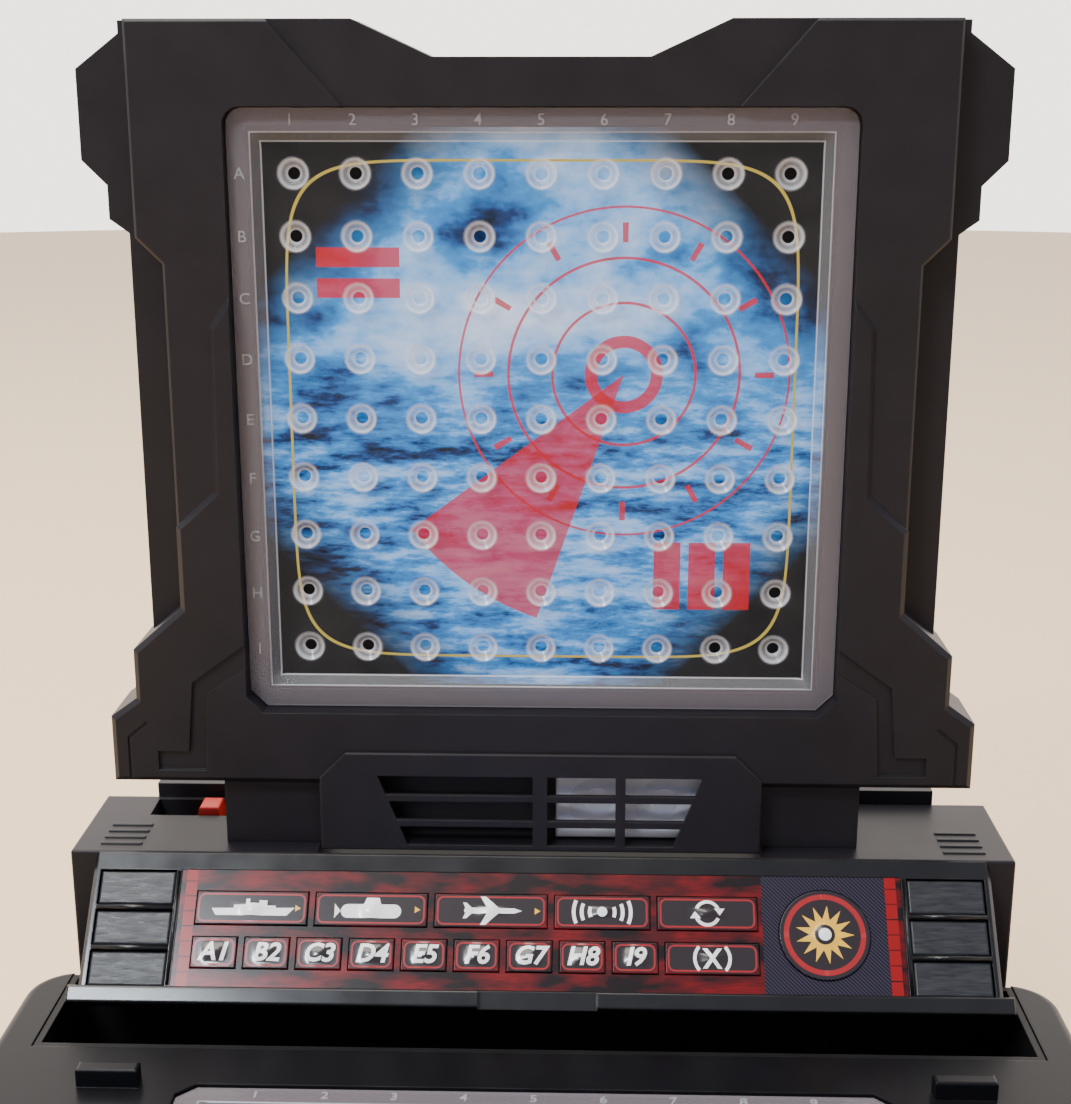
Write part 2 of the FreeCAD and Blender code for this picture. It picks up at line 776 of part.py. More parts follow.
# The bezel is a wedge: a sloped face, two cheeks and a floor, open to the console behind it
def control_bezel():
    corners = [Vec(-bezel_half, console_front_y, console_top_z), Vec(-bezel_half, lip_y, lip_z),
               Vec(-bezel_half, console_front_y, lip_z)]
    body = closed_face(corners).extrude(Vec(2 * bezel_half, 0, 0))
    slopes = [edge for edge in slanted_edges(body) if edge.BoundBox.YLength > near]
    body = body.makeChamfer(bezel_chamfer, slopes)
    top = Vec(bezel_wall - bezel_half, console_front_y, console_top_z - bezel_wall / math.sin(lean))
    low_z = lip_z + bezel_wall
    low_y = console_front_y - (top.z - low_z) * math.tan(lean)
    hollow = closed_face([top, Vec(top.x, low_y, low_z), Vec(top.x, console_front_y, low_z)])
    body = body.cut(hollow.extrude(Vec(2 * (bezel_half - bezel_wall), 0, 0)))
    lip_half = bezel_half + lip_overhang
    lip_top = panel_length - lip_height
    lip = block(-lip_half, lip_half, -panel_length, -lip_top, -bezel_wall, lip_rise)
    lip = placed(lip.makeFillet(edge_break, edges_at(lip, "z", lip_rise)), on_panel)
    body = body.fuse(lip)
    body = body.cut(panel_block(-lip_notch / 2, lip_notch / 2, lip_top - slip, panel_length + wall,
                                0, lip_rise + wall))
    label = label_half + slip / 2
    body = body.cut(panel_block(-label, label, label_top - slip / 2, label_top + label_height + slip / 2,
                                -label_thickness, wall))
    for x0, x1, v0, v1 in pad_places():
        body = body.cut(panel_block(x0 - key_fit, x1 + key_fit, v0 - key_fit, v1 + key_fit,
                                    -2 * bezel_wall, wall))
    for cutter in key_cutters():
        body = body.cut(cutter)
    for x, v in keypad_screw_places():
        body = body.fuse(panel_rod(x, v, board_w, board_boss_r, -board_w - label_thickness))
        body = body.cut(panel_rod(x, v, board_w, screw_r + pin_play, -board_w - bezel_wall))
    return body.removeSplitter()


def pad_places():
    inner = label_half + pad_gap
    places = []
    for side in (-1, 1):
        for row in range(pad_rows):
            v = label_top + pad_lead + row * pad_pitch
            x = inner if side > 0 else -inner - pad_width
            places.append((x, x + pad_width, v, v + pad_height))
    return places


# Grip pads stand in the bezel's windows, joined by a strip behind it
def pad_insert(side):
    pads = [place for place in pad_places() if place[0] * side > 0]
    x0, x1, first_v, _ = pads[0]
    last_v = pads[-1][3]
    body = panel_block(x0, x1, first_v, last_v, -bezel_wall - pad_back, -bezel_wall)
    for x0, x1, v0, v1 in pads:
        pad = block(x0, x1, -v1, -v0, -bezel_wall - pad_back, -pad_sink)
        body = body.fuse(placed(pad.makeFillet(edge_break, edges_at(pad, "z", -pad_sink)), on_panel))
    return body.removeSplitter()


# Every key: name, centre x, centre v, width and height, in reading order
def key_list():
    keys = []
    x = keys_left
    icon_widths = [("ship", icon_key_width), ("submarine", icon_key_width), ("plane", icon_key_width),
                   ("sonar", sonar_width), ("repeat", repeat_width)]
    for name, width in icon_widths:
        keys.append(("key_" + name, x + width / 2, icon_v, width, icon_key_height))
        x += width + key_gap
    x = keys_left
    for i in range(grid_count):
        name = "key_%s%d" % (chr(ord("a") + i), i + 1)
        keys.append((name, x + key_width / 2, letter_v, key_width, key_height))
        x += key_width + key_gap
    keys.append(("key_cancel", x + cancel_width / 2, letter_v, cancel_width, key_height))
    return keys


def key_cutters():
    cutters = []
    for name, x, v, width, height in key_list():
        half_w = width / 2 + key_fit
        half_h = height / 2 + key_fit
        cutters.append(panel_block(x - half_w, x + half_w, v - half_h, v + half_h, -2 * bezel_wall, wall))
    cutters.append(panel_rod(fire_x, fire_v, -2 * bezel_wall, fire_r + key_fit, 2 * bezel_wall + wall))
    return cutters


def keypad_label():
    label = panel_block(-label_half, label_half, label_top, label_top + label_height, -label_thickness, 0)
    return label.cut(key_cutters())


def key_cap(x, v, width, height):
    cap = block(x - width / 2, x + width / 2, -v - height / 2, -v + height / 2, flange_w - slip, key_proud)
    cap = cap.makeFillet(key_round, edges_at(cap, "z", key_proud))
    half_w = width / 2 + key_flange
    half_h = height / 2 + key_flange
    back = flange_w - key_flange_thickness
    flange = block(x - half_w, x + half_w, -v - half_h, -v + half_h, back, flange_w)
    return placed(cap.fuse(flange), on_panel)


def fire_key():
    cap = rod(fire_x, -fire_v, flange_w - slip, z_axis, fire_r, key_proud - flange_w + slip)
    cap = cap.makeFillet(key_round, edges_at(cap, "z", key_proud))
    back = flange_w - key_flange_thickness
    flange = rod(fire_x, -fire_v, back, z_axis, fire_r + key_flange, key_flange_thickness)
    return placed(cap.fuse(flange), on_panel)


def board_v_range():
    return icon_v - icon_key_height / 2, letter_v + key_height / 2


def keypad_screw_places():
    x = keypad_width / 2 + keypad_shift + key_flange + slip + board_boss_r
    return [(side * x, v) for side in (-1, 1) for v in (icon_v, letter_v)]


def keypad_board():
    top, low = board_v_range()
    half = keypad_screw_places()[-1][0] + board_boss_r
    board = panel_block(-half, half, top, low, board_w - board_thickness, board_w)
    for x, v in keypad_screw_places():
        start_w = board_w - 2 * board_thickness
        board = board.cut(panel_rod(x, v, start_w, screw_r + slip, 3 * board_thickness))
    return board


def keypad_domes():
    places = [(x, v) for name, x, v, width, height in key_list()] + [(fire_x, fire_v)]
    domes = []
    for x, v in places:
        dome = Part.makeCone(dome_r, dome_r / 2, dome_height, Vec(x, -v, board_w), z_axis)
        domes.append(placed(dome, on_panel))
    return Part.makeCompound(domes)


def keypad_screws():
    screws = []
    for x, v in keypad_screw_places():
        length = board_thickness + (-board_w - bezel_wall) - slip
        screws.append(placed(screw(x, -v, board_w - board_thickness, z_axis, length), on_panel))
    return Part.makeCompound(screws)


# Battery bay: cells lie along x, in two rows of two
def bay_half():
    return cell_length + cell_gap + bay_wall / 2 + contact_length + bay_wall


def bay_top_z():
    return bay_floor_z + 2 * bay_wall + 4 * cell_r + 3 * cell_gap


def battery_bay():
    front = console_back_y - bay_wall - 2 * cell_r - 2 * cell_gap
    body = slab(bay_half(), front, console_back_y, bay_floor_z, bay_top_z())
    body = body.cut(slab(bay_half() - bay_wall, front + bay_wall, console_back_y + wall,
                         bay_floor_z + bay_wall, bay_top_z() - bay_wall))
    divider = slab(bay_wall / 2, front, console_back_y, bay_floor_z, bay_top_z())
    return body.fuse(divider).removeSplitter()


def cell_rows():
    first = bay_floor_z + bay_wall + cell_gap + cell_r
    return [first, first + 2 * cell_r + cell_gap]


def cell_y():
    return console_back_y - cell_gap - cell_r


def batteries():
    cells = []
    for z in cell_rows():
        for left in (-bay_wall / 2 - cell_gap - cell_length, bay_wall / 2 + cell_gap):
            cells.append(rod(left, cell_y(), z, x_axis, cell_r, cell_length))
    return Part.makeCompound(cells)


# A spring or plate at both ends of each cell
def battery_contacts():
    contacts = []
    reach = bay_half() - bay_wall
    for z in cell_rows():
        for side in (-1, 1):
            outer = rod(side * reach, cell_y(), z, -side * x_axis, contact_r, contact_length - cell_gap / 2)
            inner = rod(side * bay_wall / 2, cell_y(), z, side * x_axis, contact_r, cell_gap / 2)
            contacts += [outer, inner]
    return Part.makeCompound(contacts)


def door_half():
    return bay_half() - bay_wall - door_lap


def door_axis():
    y = console_back_y + rear_cover_thickness - door_thickness + door_pin_shift
    return y, bay_floor_z + bay_wall + door_lap


def door_top_z():
    return bay_top_z() - bay_wall - door_lap


# Rear panel, a little taller than the shoulders, with the battery door's opening and pin holes
def console_rear_cover():
    back = console_back_y + rear_cover_thickness
    body = slab(rear_cover_half, console_back_y, back, part_line_z, console_top_z + rear_cover_rise)
    body = bevelled(body, "y", back, edge_break)
    y, z = door_axis()
    low = z - door_barrel_r - slip
    body = body.cut(slab(door_half() + slip, console_back_y - wall, back + wall, low, door_top_z() + slip))
    half = door_half() + door_pin_length + slip
    return body.cut(rod(-half, y, z, x_axis, door_pin_r + pin_play, 2 * half))


# The door swings on two stub pins along its lower edge and has a finger catch at the top
def battery_door():
    back = console_back_y + rear_cover_thickness
    y, z = door_axis()
    body = slab(door_half(), back - door_thickness, back, z, door_top_z())
    body = body.fuse(rod(-door_half(), y, z, x_axis, door_barrel_r, 2 * door_half()))
    body = body.cut(slab(2 * door_half(), back, back + wall, z - 2 * wall, z + 2 * wall))
    half = door_half() + door_pin_length
    body = body.fuse(rod(-half, y, z, x_axis, door_pin_r, 2 * half))
    catch_z = door_top_z() - 2 * wall
    catch = rod(-door_catch_width / 2, back, catch_z, x_axis, door_thickness / 2, door_catch_width)
    return body.cut(catch).removeSplitter()


def main_board_screw_places():
    y_front = console_front_y + 2 * wall + board_edge
    y_back = y_front + main_board_width - 2 * board_edge
    x_left = main_board_left + board_edge
    x_right = main_board_left + main_board_length - board_edge
    return [(x, y) for x in (x_left, x_right) for y in (y_front, y_back)]


def main_board():
    y0 = console_front_y + 2 * wall
    right = main_board_left + main_board_length
    top = main_board_z + board_thickness
    board = block(main_board_left, right, y0, y0 + main_board_width, main_board_z, top)
    middle = y0 + main_board_width / 2
    for share in chip_places:
        x = main_board_left + share * main_board_length
        board = board.fuse(block(x, x + chip_size, middle - chip_size / 2, middle + chip_size / 2,
                                 top - board_thickness / 2, top + chip_height))
    for x, y in main_board_screw_places():
        board = board.cut(rod(x, y, main_board_z - wall, z_axis, screw_r + slip, 2 * wall))
    return board


def main_board_screws():
    top = main_board_z + board_thickness
    length = top - tray_floor_z - slip
    return Part.makeCompound([screw(x, y, top, -z_axis, length) for x, y in main_board_screw_places()])


def rubber_feet():
    side = base_half - foot_inset
    rear = console_half - foot_inset
    places = [(side, front_y + foot_inset), (rear, console_back_y - foot_inset / 2)]
    feet = []
    for x, y in places:
        for sign in (-1, 1):
            foot = rod(sign * x, y, 0, z_axis, foot_r, foot_height)
            feet.append(foot.makeFillet(edge_break, edges_at(foot, "z", 0)))
    return Part.makeCompound(feet)


nodes = {
    "base_tray": base_tray(),
    "base_deck": base_deck(),
    "peg_trough": peg_trough(),
    "rubber_feet": rubber_feet(),
    "base_screws": base_screws(),
    "ocean_grid": placed(clear_grid(ocean_half, ocean_pitch, 1), on_deck),
    "ocean_card": placed(backing_card(ocean_half, ocean_pitch), on_deck),
    "console_housing": console_housing(),
    "console_rear_cover": console_rear_cover(),
    "battery_bay": battery_bay(),
    "batteries": batteries(),
    "battery_contacts": battery_contacts(),
    "battery_door": battery_door(),
    "main_board": main_board(),
    "main_board_screws": main_board_screws(),
    "power_lever": power_lever(),
    "power_switch_body": power_switch_body(),
    "control_bezel": control_bezel(),
    "left_grip_pads": pad_insert(-1),
    "right_grip_pads": pad_insert(1),
    "keypad_label": keypad_label(),
    "keypad_board": keypad_board(),
    "keypad_domes": keypad_domes(),
    "keypad_screws": keypad_screws(),
    "left_hinge_post": hinge_post(-1),
    "right_hinge_post": hinge_post(1),
    "left_hinge_pin": hinge_pin(-1),
    "right_hinge_pin": hinge_pin(1),
    "screen_front_frame": screen_front_frame(),
    "screen_back_shell": screen_back_shell(),
    "screen_screws": screen_screws(),
    "target_grid": placed(clear_grid(target_half, target_pitch, -1), on_screen),
    "target_card": placed(backing_card(target_half, target_pitch), on_screen),
    "speaker_grille": speaker_grille(),
    "speaker": speaker(),
    "key_fire": fire_key(),
}
for key_name, key_x, key_v, width_of_key, height_of_key in key_list():
    nodes[key_name] = key_cap(key_x, key_v, width_of_key, height_of_key)

os.makedirs("parts", exist_ok=True)
for node_name, node_shape in nodes.items():
    box = node_shape.BoundBox
    print("%-20s solids %2d valid %s volume %9.0f  x %7.1f %7.1f  y %7.1f %7.1f  z %6.1f %6.1f" % (
        node_name, len(node_shape.Solids), node_shape.isValid(), node_shape.Volume,
        box.XMin, box.XMax, box.YMin, box.YMax, box.ZMin, box.ZMax))
    node_shape.exportStep("parts/%s.step" % node_name)
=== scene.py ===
import json
import math
import bmesh
import bpy
from mathutils import Matrix, Vector


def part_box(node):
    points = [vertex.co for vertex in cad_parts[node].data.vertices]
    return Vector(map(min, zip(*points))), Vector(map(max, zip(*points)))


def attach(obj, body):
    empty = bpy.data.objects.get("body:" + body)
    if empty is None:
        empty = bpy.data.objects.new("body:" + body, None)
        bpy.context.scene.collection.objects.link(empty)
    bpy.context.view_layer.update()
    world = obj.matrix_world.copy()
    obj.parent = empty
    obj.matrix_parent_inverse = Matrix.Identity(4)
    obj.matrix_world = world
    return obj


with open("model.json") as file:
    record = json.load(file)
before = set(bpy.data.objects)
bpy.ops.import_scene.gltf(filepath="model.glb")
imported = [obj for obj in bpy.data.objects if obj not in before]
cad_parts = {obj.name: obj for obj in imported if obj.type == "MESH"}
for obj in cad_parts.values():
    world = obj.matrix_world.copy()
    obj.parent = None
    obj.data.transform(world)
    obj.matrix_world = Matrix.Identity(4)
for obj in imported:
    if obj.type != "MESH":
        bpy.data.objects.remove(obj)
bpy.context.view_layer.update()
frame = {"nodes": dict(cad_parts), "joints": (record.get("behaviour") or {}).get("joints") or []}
nodes = frame["nodes"]
joints = {joint["name"]: joint for joint in frame["joints"]}
mm = 0.001
gridLetters = "ABCDEFGHI"
gridHoles = len(gridLetters)
print("frame loaded:", len(nodes), "nodes")


# helpers for the material trees
def plug(tree, socket, value):
    if isinstance(value, bpy.types.NodeSocket):
        tree.links.new(value, socket)
    else:
        socket.default_value = value


def addNode(tree, kind, inputs=None, **settings):
    node = tree.nodes.new(kind)
    for key, value in settings.items():
        setattr(node, key, value)
    for key, value in (inputs or {}).items():
        plug(tree, node.inputs[key], value)
    return node


def newFinish(name, roughness=0.5):
    finish = bpy.data.materials.new(name)
    finish.use_nodes = True
    tree = finish.node_tree
    tree.nodes.clear()
    shader = addNode(tree, "ShaderNodeBsdfPrincipled", {"Roughness": roughness})
    addNode(tree, "ShaderNodeOutputMaterial", {"Surface": shader.outputs[0]})
    return finish, tree, shader


# an underscore stands for a space in the socket's name
def feed(tree, shader, **sockets):
    for name, value in sockets.items():
        plug(tree, shader.inputs[name.replace("_", " ")], value)


def objectSpot(tree):
    return addNode(tree, "ShaderNodeTexCoord").outputs["Object"]


def localSpot(tree, place, turn, scale):
    inputs = {"Vector": objectSpot(tree), "Location": place, "Rotation": turn, "Scale": (scale, scale, scale)}
    return addNode(tree, "ShaderNodeMapping", inputs, vector_type="TEXTURE").outputs[0]


def axesOf(tree, vector):
    return addNode(tree, "ShaderNodeSeparateXYZ", {0: vector}).outputs


def calc(tree, operation, *values):
    return addNode(tree, "ShaderNodeMath", dict(enumerate(values)), operation=operation).outputs[0]


def powerSum(tree, x, y, power):
    return calc(tree, "ADD", calc(tree, "POWER", x, power), calc(tree, "POWER", y, power))


def scaled(tree, vector, scale):
    return addNode(tree, "ShaderNodeVectorMath", {0: vector, 1: scale}, operation="MULTIPLY").outputs[0]


def noise(tree, vector, scale=1.0, detail=3.0, rough=0.5):
    inputs = {"Vector": vector, "Scale": scale, "Detail": detail, "Roughness": rough}
    return addNode(tree, "ShaderNodeTexNoise", inputs).outputs[0]


def spread(tree, value, low, high, toLow=0.0, toHigh=1.0):
    inputs = {"Value": value, "From Min": low, "From Max": high, "To Min": toLow, "To Max": toHigh}
    return addNode(tree, "ShaderNodeMapRange", inputs).outputs[0]


def mixColor(tree, share, under, over):
    return addNode(tree, "ShaderNodeMix", {0: share, 6: under, 7: over}, data_type="RGBA").outputs[2]


def bumped(tree, height, strength, depth, normal=None):
    inputs = {"Height": height, "Strength": strength, "Distance": depth}
    if normal is not None:
        inputs["Normal"] = normal
    return addNode(tree, "ShaderNodeBump", inputs).outputs[0]


def plain(name, color, roughness, **sockets):
    finish, tree, shader = newFinish(name, roughness)
    feed(tree, shader, Base_Color=(*color, 1), **sockets)
    return finish


# moulded plastic: fine grain, uneven sheen, softened edges with a pale painted highlight that also stands for
# edge wear
plasticLook = {"edge": 0.0005, "edgeSamples": 4, "grainScale": 1100, "grainDepth": 0.0002,
               "cloudScale": 75, "cloudSpan": (0.3, 0.75), "lighter": 1.25, "coatRoughness": 0.12,
               "edgeWearAndHighlight": (0.03, 0.029, 0.027, 1), "edgeWearAndHighlightTurn": (0.995, 0.9), "edgeWearAndHighlightSpan": (0.35, 0.7)}


def moulded(name, color, roughness, grain=0.12, coat=0.0, sheen=0.02, shine=0.16):
    finish, tree, shader = newFinish(name)
    spot = objectSpot(tree)
    cloud = noise(tree, spot, plasticLook["cloudScale"], detail=5)
    fine = noise(tree, spot, plasticLook["grainScale"], detail=2)
    edge = {"Radius": plasticLook["edge"]}
    soft = addNode(tree, "ShaderNodeBevel", edge, samples=plasticLook["edgeSamples"]).outputs[0]
    flat = addNode(tree, "ShaderNodeNewGeometry").outputs["Normal"]
    # the pale colour mixed in along edges is a painted highlight, partly edge wear
    turn = addNode(tree, "ShaderNodeVectorMath", {0: soft, 1: flat}, operation="DOT_PRODUCT").outputs["Value"]
    turned = spread(tree, turn, *plasticLook["edgeWearAndHighlightTurn"])
    edgeWearAndHighlight = calc(tree, "MULTIPLY", turned, spread(tree, cloud, *plasticLook["edgeWearAndHighlightSpan"]))
    lighter = [plasticLook["lighter"] * part for part in color]
    tone = mixColor(tree, spread(tree, cloud, *plasticLook["cloudSpan"]), (*color, 1), (*lighter, 1))
    feed(tree, shader, Base_Color=mixColor(tree, edgeWearAndHighlight, tone, plasticLook["edgeWearAndHighlight"]),
         Normal=bumped(tree, fine, grain, plasticLook["grainDepth"], soft),
         Roughness=spread(tree, cloud, *plasticLook["cloudSpan"], roughness - sheen, roughness + sheen),
         Specular_IOR_Level=shine, Coat_Weight=coat, Coat_Roughness=plasticLook["coatRoughness"])
    return finish


# grip pads: streaks across a glossy face
padLook = {"streak": (160, 900, 900), "strength": 0.55, "depth": 0.0004, "dark": (0.008, 0.009, 0.011, 1),
           "pale": (0.03, 0.032, 0.037, 1), "span": (0.3, 0.7), "roughness": (0.24, 0.45), "shine": 0.32}


def streaked(name):
    finish, tree, shader = newFinish(name)
    streak = noise(tree, scaled(tree, objectSpot(tree), padLook["streak"]), detail=5)
    feed(tree, shader, Base_Color=mixColor(tree, streak, padLook["dark"], padLook["pale"]),
         Normal=bumped(tree, streak, padLook["strength"], padLook["depth"]),
         Roughness=spread(tree, streak, *padLook["span"], *padLook["roughness"]),
         Specular_IOR_Level=padLook["shine"])
    return finish


# clear trays: an almost unseen plate, a hazy flange and a frosted cone round every hole, with painted
# highlight rings at each cone's rim and hole's mouth and painted highlight lines along both edges of the
# flange step
trayLook = {"plate": 0.006, "haze": 0.03, "cone": 0.2, "rimHighlight": 0.3, "mouthHighlight": 0.22, "flange": 0.4, "step": 0.1,
            "edge": 0.3, "edgeHalf": 0.22, "coneEdge": 4.0, "coneBand": 0.9, "holeEdge": 2.0, "holeBand": 0.7,
            "flangeWidth": 6.5, "draft": 2.6, "plateDepth": -5.2, "flangeDepth": -1.0, "hazeScale": 90,
            "roughness": 0.16, "clear": (0.86, 0.87, 0.9, 1), "tint": (0.27, 0.24, 0.26, 1)}


def softRing(tree, radius, edge, band):
    return spread(tree, calc(tree, "ABSOLUTE", calc(tree, "SUBTRACT", radius, edge)), band, 0)


def trayMasks(tree, axes, grid):
    pitch = grid["pitch"]
    across, along = [calc(tree, "WRAP", axes[i], pitch / 2, -pitch / 2) for i in (0, 1)]
    radius = calc(tree, "SQRT", powerSum(tree, across, along, 2))
    reach = calc(tree, "MAXIMUM", calc(tree, "ABSOLUTE", axes[0]), calc(tree, "ABSOLUTE", axes[1]))
    inField = calc(tree, "LESS_THAN", reach, gridHoles / 2 * pitch)
    coneEnd = trayLook["coneEdge"] + trayLook["coneBand"] / 2
    # the rings at the cone's rim and the hole's mouth are painted highlights
    rings = {"cone": spread(tree, radius, coneEnd, trayLook["coneEdge"]),
             "rimHighlight": softRing(tree, radius, trayLook["coneEdge"], trayLook["coneBand"]),
             "mouthHighlight": softRing(tree, radius, trayLook["holeEdge"], trayLook["holeBand"])}
    masks = {part: calc(tree, "MULTIPLY", inField, ring) for part, ring in rings.items()}
    top = grid["half"] - trayLook["flangeWidth"]
    draft = trayLook["draft"]
    # the two thin lines along the edges of the flange step are painted highlights
    lines = [calc(tree, "COMPARE", reach, line, trayLook["edgeHalf"]) for line in (top, top - draft)]
    masks["flange"] = calc(tree, "GREATER_THAN", reach, top)
    masks["step"] = calc(tree, "COMPARE", reach, top - draft / 2, draft / 2)
    masks["edge"] = calc(tree, "MAXIMUM", *lines)
    return masks


def clearTray(name, grid):
    finish, tree, shader = newFinish(name, trayLook["roughness"])
    axes = axesOf(tree, localSpot(tree, grid["place"], grid["turn"], mm))
    masks = trayMasks(tree, axes, grid)
    haze = noise(tree, objectSpot(tree), trayLook["hazeScale"], detail=4)
    alpha = calc(tree, "MULTIPLY_ADD", haze, trayLook["haze"], trayLook["plate"])
    for part, mask in masks.items():
        alpha = calc(tree, "MULTIPLY_ADD", mask, trayLook[part], alpha)
    # back faces stay unseen
    deepest = spread(tree, masks["flange"], 0, 1, trayLook["plateDepth"], trayLook["flangeDepth"])
    alpha = calc(tree, "MULTIPLY", alpha, calc(tree, "GREATER_THAN", axes[2], deepest))
    color = mixColor(tree, masks["flange"], trayLook["clear"], trayLook["tint"])
    feed(tree, shader, Alpha=alpha, Base_Color=color)
    return finish


# printed sea card: water in two scales under thin red instruments and a yellow border
seaLook = {"deep": (0.001, 0.005, 0.016, 1), "blue": (0.003, 0.065, 0.3, 1), "sky": (0.05, 0.34, 0.8, 1),
           "foam": (0.62, 0.76, 1, 1), "dark": (0.002, 0.002, 0.003, 1), "red": (0.5, 0.002, 0.008, 1),
           "yellow": (0.5, 0.4, 0.06, 1), "roughness": 0.4, "shine": 0.1,
           "cornerSpan": (1.15, 1.5), "borderPower": 7, "border": 0.92, "borderHalf": 0.0045}
waterLook = {"ripple": (4, 15, 1), "rippleShare": (0.65, 0.05), "swell": (1.4, 2.2, 1),
             "swellShare": (0.35, 0.95),
             "glow": (0.06, -0.02), "glowShare": (0.4, 1.6), "glowMiddle": 0.05, "glowReach": 0.9,
             "farSpan": (-0.15, 0.4), "blueSpan": (0.39, 0.48), "skySpan": (0.43, 0.55),
             "foamSpan": (0.515, 0.69)}
dialLook = {"beamHalf": 0.3, "beamReach": 0.98, "beamInk": 0.8, "ink": 0.85,
            "rings": ((0.12, 0.022), (0.26, 0.005), (0.42, 0.005), (0.6, 0.004)),
            "tickTurn": 0.2618, "tickHalf": 0.02, "tickMiddle": 0.51, "tickReach": 0.035,
            "flatBlocks": {"x": (-0.66,), "y": (0.58, 0.47), "half": (0.15, 0.035)},
            "tallBlocks": {"x": (0.6, 0.73, 0.47), "y": (-0.6,), "half": (0.05, 0.13)}}


def waterColor(tree, local, axes, seed):
    shift = {0: local, 1: (seed, seed, 0)}
    shifted = addNode(tree, "ShaderNodeVectorMath", shift, operation="ADD").outputs[0]
    ripple = noise(tree, scaled(tree, shifted, waterLook["ripple"]), detail=9, rough=0.68)
    swell = noise(tree, scaled(tree, shifted, waterLook["swell"]), detail=8, rough=0.6)
    far = spread(tree, axes[1], *waterLook["farSpan"])
    aside = calc(tree, "ABSOLUTE", calc(tree, "SUBTRACT", axes[0], waterLook["glowMiddle"]))
    glow = spread(tree, aside, 0, waterLook["glowReach"], *waterLook["glow"])
    waves = {"swellShare": swell, "rippleShare": ripple, "glowShare": glow}
    swells, ripples, glows = [calc(tree, "MULTIPLY", wave, spread(tree, far, 0, 1, *waterLook[share]))
                              for share, wave in waves.items()]
    height = calc(tree, "ADD", calc(tree, "ADD", swells, ripples), glows)
    color = seaLook["deep"]
    for tint in ("blue", "sky", "foam"):
        color = mixColor(tree, spread(tree, height, *waterLook[tint + "Span"]), color, seaLook[tint])
    return color


def dialColor(tree, axes, dial, color):
    dialX, dialY = [calc(tree, "SUBTRACT", axes[i], dial[i]) for i in (0, 1)]
    away = calc(tree, "SQRT", powerSum(tree, dialX, dialY, 2))
    bearing = calc(tree, "ARCTAN2", dialY, dialX)
    beam = calc(tree, "MULTIPLY", calc(tree, "COMPARE", bearing, dial[2], dialLook["beamHalf"]),
                calc(tree, "LESS_THAN", away, dialLook["beamReach"]))
    color = mixColor(tree, calc(tree, "MULTIPLY", beam, dialLook["beamInk"]), color, seaLook["red"])
    lines = [calc(tree, "COMPARE", away, ring, half) for ring, half in dialLook["rings"]]
    tickTurn = calc(tree, "WRAP", bearing, dialLook["tickTurn"], -dialLook["tickTurn"])
    lines.append(calc(tree, "MULTIPLY", calc(tree, "COMPARE", tickTurn, 0, dialLook["tickHalf"]),
                      calc(tree, "COMPARE", away, dialLook["tickMiddle"], dialLook["tickReach"])))
    for blocks in (dialLook["flatBlocks"], dialLook["tallBlocks"]):
        halfWide, halfHigh = blocks["half"]
        for x in blocks["x"]:
            for y in blocks["y"]:
                lines.append(calc(tree, "MULTIPLY", calc(tree, "COMPARE", axes[0], x, halfWide),
                                  calc(tree, "COMPARE", axes[1], y, halfHigh)))
    for line in lines:
        color = mixColor(tree, calc(tree, "MULTIPLY", line, dialLook["ink"]), color, seaLook["red"])
    return color


def seaCard(name, grid):
    finish, tree, shader = newFinish(name, seaLook["roughness"])
    local = localSpot(tree, grid["place"], grid["turn"], grid["cardHalf"] * mm)
    axes = axesOf(tree, local)
    absX, absY = [calc(tree, "ABSOLUTE", axes[i]) for i in (0, 1)]
    color = waterColor(tree, local, axes, grid["seed"])
    corner = spread(tree, calc(tree, "ADD", absX, absY), *seaLook["cornerSpan"])
    color = mixColor(tree, corner, color, seaLook["dark"])
    color = dialColor(tree, axes, grid["dial"], color)
    power = seaLook["borderPower"]
    edge = calc(tree, "POWER", powerSum(tree, absX, absY, power), 1 / power)
    border = calc(tree, "COMPARE", edge, seaLook["border"], seaLook["borderHalf"])
    feed(tree, shader, Base_Color=mixColor(tree, border, color, seaLook["yellow"]),
         Specular_IOR_Level=seaLook["shine"])
    return finish


# the panel's own frame: x across, up the slope, out of its face
panelOut = -Vector(joints["key_a1_press"]["axis"])
panelUp = Vector((0, panelOut.z, -panelOut.y))
bezelHigh = Vector(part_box("control_bezel")[1])
panelTop = Vector((0, bezelHigh.y, bezelHigh.z))
panelTurn = math.atan2(-panelOut.y, panelOut.z)
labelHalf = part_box("keypad_label")[1][0] / mm


def panelMatrix(x, down, lift=0.0):
    spot = panelTop + Vector((x * mm, 0, 0)) - panelUp * down * mm + panelOut * lift * mm
    rows = Matrix((Vector((1, 0, 0)), panelUp, panelOut)).transposed().to_4x4()
    return Matrix.Translation(spot) @ rows @ Matrix.Scale(mm, 4)


# printed label: red and black patches, bars at both ends and a woven field under the big key
labelLook = {"black": (0.006, 0.002, 0.0025, 1), "red": (0.16, 0.002, 0.004, 1), "roughness": 0.24,
             "shine": 0.3, "patch": (0.055, 0.16, 1), "patchSpan": (0.4, 0.66),
             "streak": (0.25, 2.2, 1), "streakSpan": (0.25, 0.6), "streakShare": (0.35, 1),
             "weave": (0.006, 0.005, 0.01, 1), "weaveIn": 23.5, "weaveHalf": 18.5,
             "thread": (0.03, 0.024, 0.045, 1), "threadTurn": 5.2, "threadSpan": (-0.4, 0.9),
             "bar": (0.24, 0.004, 0.005, 1), "barIn": 3.2, "barHalf": 1.7, "barPitch": 4.6, "barCut": 0.09}


